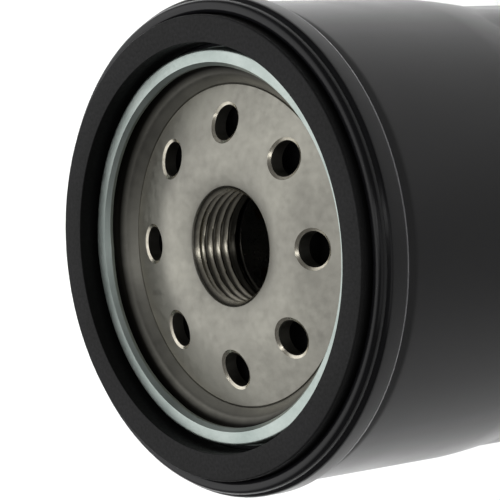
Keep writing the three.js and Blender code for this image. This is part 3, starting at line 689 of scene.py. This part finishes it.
def tapped_steel():
    """The same steel freshly cut by the tap and the countersink: brighter and smoother, with fine
    rings along the cut. Painted shade darkens the thread's roots, a mask by radius, and the bore's
    inner end, a mask by height."""
    material, tree = new_material("tapped_steel")
    place = add_node(tree, "ShaderNodeTexCoord").outputs["Object"]
    flattened = add_node(tree, "ShaderNodeMapping", {"Vector": place, "Scale": (0.15, 0.15, 1.0)})
    rings = add_node(tree, "ShaderNodeTexNoise", {
        "Vector": flattened.outputs["Vector"], "Scale": 1 / (0.12 * MM), "Detail": 3.0})
    tint = add_node(tree, "ShaderNodeValToRGB", {"Fac": rings.outputs["Fac"]})
    tint.color_ramp.elements[0].position = 0.3
    tint.color_ramp.elements[0].color = linear("#cbc5b5")
    tint.color_ramp.elements[1].position = 0.7
    tint.color_ramp.elements[1].color = linear("#efe9d8")
    # Painted shade in the thread's roots.
    root_shade = shade_by_radius(tree, place, [
        (thread_minor + 0.12, 0), (thread_minor + 0.56, 0.85), (thread_minor + 0.84, 0.85),
        (thread_minor + 1.0, 0)])
    height = add_node(tree, "ShaderNodeSeparateXYZ", {"Vector": place})
    # Painted shade: the bore darkens toward its inner end.
    bore_end_shade = add_node(tree, "ShaderNodeMapRange", {
        "Value": height.outputs["Z"], "From Min": below(11.8) * MM, "From Max": below(13.0) * MM,
        "To Max": 0.93})
    painted_shade = add_node(tree, "ShaderNodeMath", {0: root_shade, 1: bore_end_shade.outputs["Result"]}, operation="MAXIMUM")
    shaded_tint = add_node(tree, "ShaderNodeMix", {
        "Factor": painted_shade.outputs["Value"], 6: tint.outputs["Color"], 7: linear("#12110e")}, data_type="RGBA")
    bump = add_node(tree, "ShaderNodeBump", {
        "Height": rings.outputs["Fac"], "Strength": 0.3, "Distance": 0.02 * MM})
    finish_material(tree, add_node(tree, "ShaderNodeBsdfPrincipled", {
        "Base Color": shaded_tint.outputs[2], "Metallic": 1.0, "Roughness": 0.24,
        "Normal": bump.outputs["Normal"]}))
    return material


def cut_faces(centres):
    """1 on the faces of the tapped bore, and on the bevel round the nearest hole's mouth."""
    reach = np.hypot(centres[:, 0], centres[:, 1])
    bore_face = (reach < thread_major + 0.05) & (centres[:, 2] < below(centre_depth + 0.1))
    angle = np.arctan2(centres[:, 1], centres[:, 0]) - first_hole
    step = 2 * math.pi / hole_count
    angle = angle - np.round(angle / step) * step
    from_hole = np.hypot(reach * np.cos(angle) - hole_circle, reach * np.sin(angle))
    depth = face_mm - centres[:, 2] - plate_depth(reach)
    return bore_face | ((from_hole < hole_radius + chamfer_width) & (depth < chamfer_depth + 0.02))


zones = [(hole_zone(first_hole + 2 * math.pi / hole_count * k), False, True) for k in range(hole_count)]
make_piece("dished_base_plate", "housing", zones + [(rim_grid, False, True), (neck_grid, False, True)],
           [pickled_steel(), tapped_steel()], cut_faces, crease=25,
           replaces=["base_plate"])


# ---- Seam compound ----
# A water-based latex lining compound, flowed into the lid's curl and dried before the seam is
# rolled. It fills the fold between lid and can.
def moulded(name, light, dark, patch, grain, roughness, depth, metallic=0.0):
    """A finish of two tones that drift over a patch in millimetres, with a grain of its own size in
    roughness and bump. depth is the grain's height in millimetres."""
    material, tree = new_material(name)
    place = add_node(tree, "ShaderNodeTexCoord").outputs["Object"]
    drift = add_node(tree, "ShaderNodeTexNoise", {"Vector": place, "Scale": 1 / (patch * MM), "Detail": 4.0})
    fine = add_node(tree, "ShaderNodeTexNoise", {"Vector": place, "Scale": 1 / (grain * MM), "Detail": 3.0})
    tint = add_node(tree, "ShaderNodeValToRGB", {"Fac": drift.outputs["Fac"]})
    tint.color_ramp.elements[0].position = 0.3
    tint.color_ramp.elements[0].color = linear(dark)
    tint.color_ramp.elements[1].position = 0.7
    tint.color_ramp.elements[1].color = linear(light)
    sheen = add_node(tree, "ShaderNodeMapRange", {
        "Value": fine.outputs["Fac"], "From Min": 0.3, "From Max": 0.7,
        "To Min": roughness - 0.06, "To Max": roughness + 0.08})
    bump = add_node(tree, "ShaderNodeBump", {
        "Height": fine.outputs["Fac"], "Strength": 0.3, "Distance": depth * MM})
    finish_material(tree, add_node(tree, "ShaderNodeBsdfPrincipled", {
        "Base Color": tint.outputs["Color"], "Metallic": metallic, "Roughness": sheen.outputs["Result"],
        "Normal": bump.outputs["Normal"]}))
    return material


# Dried latex compound: dull grey-green, slightly lumpy.
latex = moulded("latex_seam_compound", "#69776b", "#56635a", 3.0, 0.4, 0.7, 0.05)
compound_outline = bent_line([
    (seam_layer(2) - 0.2, below(4.6), 0.1), (seam_layer(2) + 0.2, below(4.6), 0.1),
    (seam_layer(2) + 0.2, below(4.2), 0.1), (seam_layer(2) - 0.2, below(4.2), 0.1)], steps=3, closed=True)
make_piece("latex_bead", "housing", [(turned(compound_outline, 192), True, True)], [latex],
           replaces=["seam_compound"])


# ---- Anti-drain collar ----
# A moulded nitrile bush pressed over the neck. Its flange rests on the cartridge's end cap and
# keeps dirty oil from passing round the neck.
neck_cap_depth = 15.2
cap_hole = 14.0
collar_outer = cap_hole - 0.1
collar_outline = bent_line([
    (neck_outer + 0.1, below(9.15), 0.3), (neck_outer + 0.1, below(17.5), 0.3),
    (collar_outer, below(17.5), 0.5), (collar_outer, below(neck_cap_depth - 0.1), 0.1),
    (17.0, below(neck_cap_depth - 0.1), 0.25), (17.0, below(neck_cap_depth - 0.9), 0.25),
    (collar_outer, below(neck_cap_depth - 0.9), 0.3), (collar_outer, below(9.15), 0.5)],
    steps=4, closed=True)
moulded_rubber = moulded("moulded_nitrile", "#262627", "#1c1c1d", 6.0, 0.3, 0.55, 0.03)
make_piece("neck_collar", "housing", [(turned(collar_outline, 192), True, True)], [moulded_rubber],
           replaces=["anti_drain_collar"])


# ---- Anti-drain flap ----
# A thin moulded nitrile skirt. Its root is held round the collar and its lip seals under the inlet
# holes; incoming oil pushes the lip down, so the skirt bends between root and lip.
flap_root, flap_lip = (14.45, below(12.0)), (24.3, below(10.0))
flap_outline = sheet_outline([flap_root, (23.3, below(10.0), 2.0), flap_lip], 1.0, steps=8)
flap = make_piece("drain_skirt", None, [(turned(flap_outline, 192), True, True)], [moulded_rubber],
                  replaces=["anti_drain_flap"])
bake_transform(flap)


# ---- End caps ----
# Two caps stamped from 0.5 mm tinplate. The threaded end's cap has an inner skirt round the collar,
# the closed end's cap has the bypass port. Both hold the paper in a ring of plastisol.
cap_sheet, cap_radius, cap_skirt, port_radius = 0.5, 33.1, 3.8, 6.5
neck_cap_under, dome_cap_top = below(neck_cap_depth + cap_sheet), 11.6
cap_half = cap_sheet / 2
tinplate = moulded("electrolytic_tinplate", "#c9c8c2", "#b1b0aa", 8.0, 0.3, 0.3, 0.02, metallic=1.0)
neck_cap_outline = sheet_outline([
    (cap_radius - cap_half, neck_cap_under + cap_half - cap_skirt),
    (cap_radius - cap_half, neck_cap_under + cap_half, 0.3),
    (cap_hole + cap_half, neck_cap_under + cap_half, 0.3),
    (cap_hole + cap_half, neck_cap_under + cap_half - cap_skirt)], cap_sheet, steps=4)
make_piece("neck_end_cap", "cartridge", [(turned(neck_cap_outline, 192), True, True)], [tinplate],
           replaces=["thread_end_cap"])
dome_cap_outline = sheet_outline([
    (cap_radius - cap_half, dome_cap_top - cap_half + cap_skirt),
    (cap_radius - cap_half, dome_cap_top - cap_half, 0.3),
    (port_radius, dome_cap_top - cap_half)], cap_sheet, steps=4)
make_piece("port_end_cap", "cartridge", [(turned(dome_cap_outline, 192), True, True)], [tinplate],
           replaces=["dome_end_cap"])


# ---- Plastisol rings ----
# Red-brown PVC plastisol poured into each cap and baked with the paper standing in it. It bonds
# paper, tube and cap into one.
plastisol = moulded("baked_plastisol", "#9c4030", "#853325", 5.0, 0.8, 0.4, 0.06)
adhesive_height, adhesive_inner, adhesive_outer = 1.5, 15.1, cap_radius - cap_sheet - 0.3
for name, node, bottom in (
        ("neck_end_plastisol", "thread_end_adhesive", neck_cap_under - 0.1 - adhesive_height),
        ("port_end_plastisol", "dome_end_adhesive", dome_cap_top + 0.1)):
    ring_outline = bent_line([
        (adhesive_inner, bottom, 0.2), (adhesive_outer, bottom, 0.2),
        (adhesive_outer, bottom + adhesive_height, 0.2), (adhesive_inner, bottom + adhesive_height, 0.2)],
        steps=3, closed=True)
    make_piece(name, "cartridge", [(turned(ring_outline, 192), True, True)], [plastisol],
               replaces=[node])


# ---- Filter paper ----
# Resin-cured cellulose paper, 0.7 mm thick, scored and folded into forty pleats and closed into a
# ring with its folds against the tube.
pleat_count, paper_sheet, pleat_outer, pleat_inner = 40, 0.7, 32.0, 15.9
media_bottom, media_top = dome_cap_top + adhesive_height + 0.2, neck_cap_under - adhesive_height - 0.2


def pleat_line(steps):
    """The middle of the folded paper, seen along the axis. Along each half pleat the radius swings
    from fold to valley as a soft triangle, arcsin(0.97 cos) of the angle, so the folds are rounded."""
    angle = np.linspace(0, 2 * math.pi, pleat_count * steps, endpoint=False)
    swing = np.arcsin(0.97 * np.cos(pleat_count * angle)) / math.asin(0.97)
    middle = (pleat_outer + pleat_inner) / 2
    reach = (pleat_outer - pleat_inner - paper_sheet) / 2
    radius = middle + reach * swing
    return np.stack([radius * np.cos(angle), radius * np.sin(angle)], axis=-1)


pleat = pleat_line(28)
tangent = np.roll(pleat, -1, axis=0) - np.roll(pleat, 1, axis=0)
tangent /= np.linalg.norm(tangent, axis=1, keepdims=True)
sideways = np.stack([tangent[:, 1], -tangent[:, 0]], axis=-1) * paper_sheet * 0.3
paper_loop = [(pleat - sideways, media_bottom), (pleat + sideways, media_bottom),
              (pleat + sideways, media_top), (pleat - sideways, media_top)]
paper_grid = np.stack([np.column_stack([flat, np.full(len(flat), z)]) for flat, z in paper_loop])
cured_paper = moulded("resin_cured_filter_paper", "#d3b36e", "#bf9b55", 10.0, 0.25, 0.85, 0.06)
make_piece("pleated_paper", "cartridge", [(paper_grid, True, True)], [cured_paper], crease=50,
           replaces=["pleated_media"])


# ---- Carried-over pressings ----
# The perforated tube, the paper's seam clip and the bypass cage are plain tinplate pressings, so
# they keep the frame's own shapes.
def dress(node, finish):
    """Gives a frame node one finish in place of its own."""
    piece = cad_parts[node]
    piece.data.materials.clear()
    piece.data.materials.append(finish)


for node in ("centre_tube", "media_seam_clip", "bypass_housing"):
    dress(node, tinplate)


# ---- Bypass valve ----
# A nylon disc held on a nitrile ring over the port by a wound spring. It lifts when the paper clogs.
seal_bottom, seal_height, seal_width = dome_cap_top + 0.1, 0.8, 2.1
seal_top = seal_bottom + seal_height
seal_inner = port_radius + 0.2
seal_outer = seal_inner + seal_width
poppet_bottom, poppet_top = seal_top + 0.1, seal_top + 1.1
stem_radius, stem_height = 3.0, 5.0
seal_outline = bent_line([
    (seal_inner, seal_bottom, 0.2), (seal_outer, seal_bottom, 0.2),
    (seal_outer, seal_top, 0.2), (seal_inner, seal_top, 0.2)],
    steps=4, closed=True)
make_piece("bypass_ring", "bypass_disc", [(turned(seal_outline, 128), True, True)], [moulded_rubber],
           replaces=["bypass_seal"])
poppet_outline = bent_line([
    (0, poppet_bottom), (seal_outer, poppet_bottom, 0.25),
    (seal_outer, poppet_top, 0.35), (stem_radius, poppet_top, 0.5),
    (stem_radius, poppet_top + stem_height, 0.6), (0, poppet_top + stem_height)], steps=6)
nylon = moulded("moulded_nylon", "#ded9cb", "#cfc9b9", 5.0, 0.5, 0.42, 0.02)
make_piece("bypass_disc_and_stem", "bypass_disc", [(turned(poppet_outline, 128), False, True)], [nylon],
           replaces=["bypass_poppet"])


# ---- Bypass spring ----
# Hard-drawn 1.2 mm wire wound to four and a half turns, with a washer above it under the cage roof.
wire_radius, coil_radius, coil_turns = 0.6, 5.6, 4.5
cage_height, washer_sheet, valve_lift = 14.2, 0.6, 3.0
cage_top = dome_cap_top + 0.1 + cage_height
washer_bottom = cage_top - cap_sheet - 0.1 - washer_sheet
coil_bottom, coil_top = poppet_top + 0.1 + wire_radius, washer_bottom - 0.1 - wire_radius


def coil(steps, sides):
    """A wire's grid: its middle runs round the axis as it rises evenly, and each ring of it is
    wire_radius (cos b, sin b) in the plane of the outward and upward directions. Ends close to poles."""
    share = np.linspace(0, 1, steps)
    angle = share * coil_turns * 2 * math.pi
    around_wire = np.linspace(0, 2 * math.pi, sides, endpoint=False)
    thickness = np.full(steps, wire_radius)
    thickness[[0, -1]] = 0
    share[1], share[-2] = share[0], share[-1]
    angle[1], angle[-2] = angle[0], angle[-1]
    radius = coil_radius + thickness[:, None] * np.cos(around_wire)
    middle_height = coil_bottom + (coil_top - coil_bottom) * share[:, None]
    height = middle_height + thickness[:, None] * np.sin(around_wire)
    return around(radius, height, angle[:, None])


drawn_wire = moulded("hard_drawn_spring_wire", "#9a9b9b", "#818383", 4.0, 0.15, 0.3, 0.01, metallic=1.0)
spring = make_piece("bypass_coil", "cartridge", [(coil(200, 16), False, True)], [drawn_wire],
                    replaces=["bypass_spring"])
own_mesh(spring)
washer_inner, washer_outer, washer_top = stem_radius + 0.3, coil_radius + 1.2, washer_bottom + washer_sheet
washer_outline = bent_line([
    (washer_inner, washer_bottom, 0.1), (washer_outer, washer_bottom, 0.1),
    (washer_outer, washer_top, 0.1), (washer_inner, washer_top, 0.1)], steps=3, closed=True)
make_piece("spring_washer", "cartridge", [(turned(washer_outline, 96), True, True)], [drawn_wire],
           replaces=["bypass_spring_seat"])


# ---- Leaf spring ----
# A ring with four leaves, stamped and bent from 0.8 mm spring strip and oil-blued. It stands on the
# can's closed end and presses the cartridge up.
strip, leaf_width, leaf_count, give = 0.8, 8.0, 4, 1.0
ring_inner, ring_outer, foot_radius, foot_tip = 9.5, 16.0, 24.5, 3.0
ring_middle, foot_middle = 11.1 - 0.1 - strip / 2, SHEET + 0.1 + strip / 2


def leaf(angle):
    """A leaf's grid: its middle line bends down from the ring to its foot, and across it runs a
    rectangle with cut corners, strip thick and leaf_width wide. Ends close to poles."""
    line = bent_line([(ring_outer - 3, ring_middle), (ring_outer, ring_middle, 2.0),
                      (foot_radius, foot_middle, 2.0), (foot_radius + foot_tip, foot_middle + 0.5)], steps=8)
    upper, lower = sheet_sides(line, 1.0)
    normal = upper - lower
    half, cut = strip / 2, 0.1
    across = np.array([leaf_width / 2, leaf_width / 2 - cut, cut - leaf_width / 2, -leaf_width / 2,
                       -leaf_width / 2, cut - leaf_width / 2, leaf_width / 2 - cut, leaf_width / 2])
    through = np.array([half - cut, half, half, half - cut, cut - half, -half, -half, cut - half])
    size = np.ones(len(line) + 2)[:, None]
    size[[0, -1]] = 0
    line = np.concatenate([line[:1], line, line[-1:]])
    normal = np.concatenate([normal[:1], normal, normal[-1:]])
    radial = line[:, :1] + normal[:, :1] * through * size
    height = line[:, 1:] + normal[:, 1:] * through * size
    sideways = across * size
    cos, sin = math.cos(angle), math.sin(angle)
    return np.stack([radial * cos - sideways * sin, radial * sin + sideways * cos, height], axis=-1)


leaf_ring = bent_line([
    (ring_inner, ring_middle - strip / 2, 0.1), (ring_outer, ring_middle - strip / 2, 0.1),
    (ring_outer, ring_middle + strip / 2, 0.1), (ring_inner, ring_middle + strip / 2, 0.1)],
    steps=3, closed=True)
blued_strip = moulded("oil_blued_spring_strip", "#7d8186", "#63676d", 6.0, 0.2, 0.32, 0.02, metallic=1.0)
leaves = [(leaf(math.radians(45 + 360 / leaf_count * k)), False, True) for k in range(leaf_count)]
stand = make_piece("leaf_stand", "housing", [(turned(leaf_ring, 128), True, True)] + leaves, [blued_strip],
                   replaces=["support_spring"])
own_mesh(stand)
